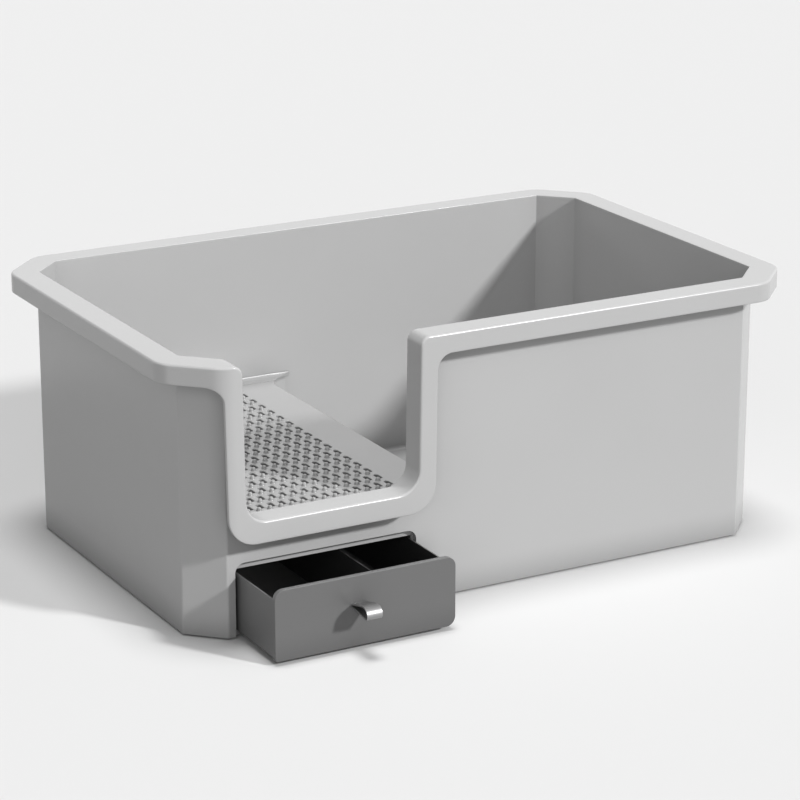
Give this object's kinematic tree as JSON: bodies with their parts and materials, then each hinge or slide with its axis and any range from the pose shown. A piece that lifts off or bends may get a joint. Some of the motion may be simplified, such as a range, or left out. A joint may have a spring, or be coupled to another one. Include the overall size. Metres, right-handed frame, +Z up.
{
  "type": "drawer litter box",
  "caption": "Open-top cat litter box with a splash rim, a low entry, a lift-out sieving step behind it and a divided pull-out tray under the step.",
  "frame": {"origin": "on the ground under the foot pads, below the centre of the rim's length and width", "axes": "+X along the box's length, towards the deep end away from the entry; +Y across it, from the entry and drawer side to the back; +Z up"},
  "size_m": [0.64, 0.4921, 0.2545],
  "materials": {
    "light_grey_plastic": "satin",
    "dark_grey_plastic": "satin",
    "white_plastic": "matte",
    "satin_steel": "satin",
    "grey_rubber": "matte"
  },
  "bodies": {
    "tub_body": {"tub": "light_grey_plastic", "splash_rim": "light_grey_plastic", "guide_rail_left": "white_plastic", "guide_rail_right": "white_plastic", "rail_screws": "satin_steel", "foot_pad_front_left": "grey_rubber", "foot_pad_front_right": "grey_rubber", "foot_pad_back_left": "grey_rubber", "foot_pad_back_right": "grey_rubber", "foot_pad_middle": "grey_rubber"},
    "drawer": {"drawer_tray": "dark_grey_plastic", "drawer_front": "dark_grey_plastic", "drawer_divider": "dark_grey_plastic", "pull_tab": "satin_steel", "tab_rivets": "satin_steel", "front_screws": "satin_steel"},
    "step": {"step_plate": "light_grey_plastic"}
  },
  "joints": [
    {"name": "drawer_slide", "type": "slide", "parent": "tub_body", "child": "drawer", "axis": [0, -1, 0], "range_m": [-0.073, 0.167]},
    {"name": "step_lift", "type": "slide", "parent": "tub_body", "child": "step", "axis": [0, 0, 1], "range_m": [0, 0.165]}
  ]
}
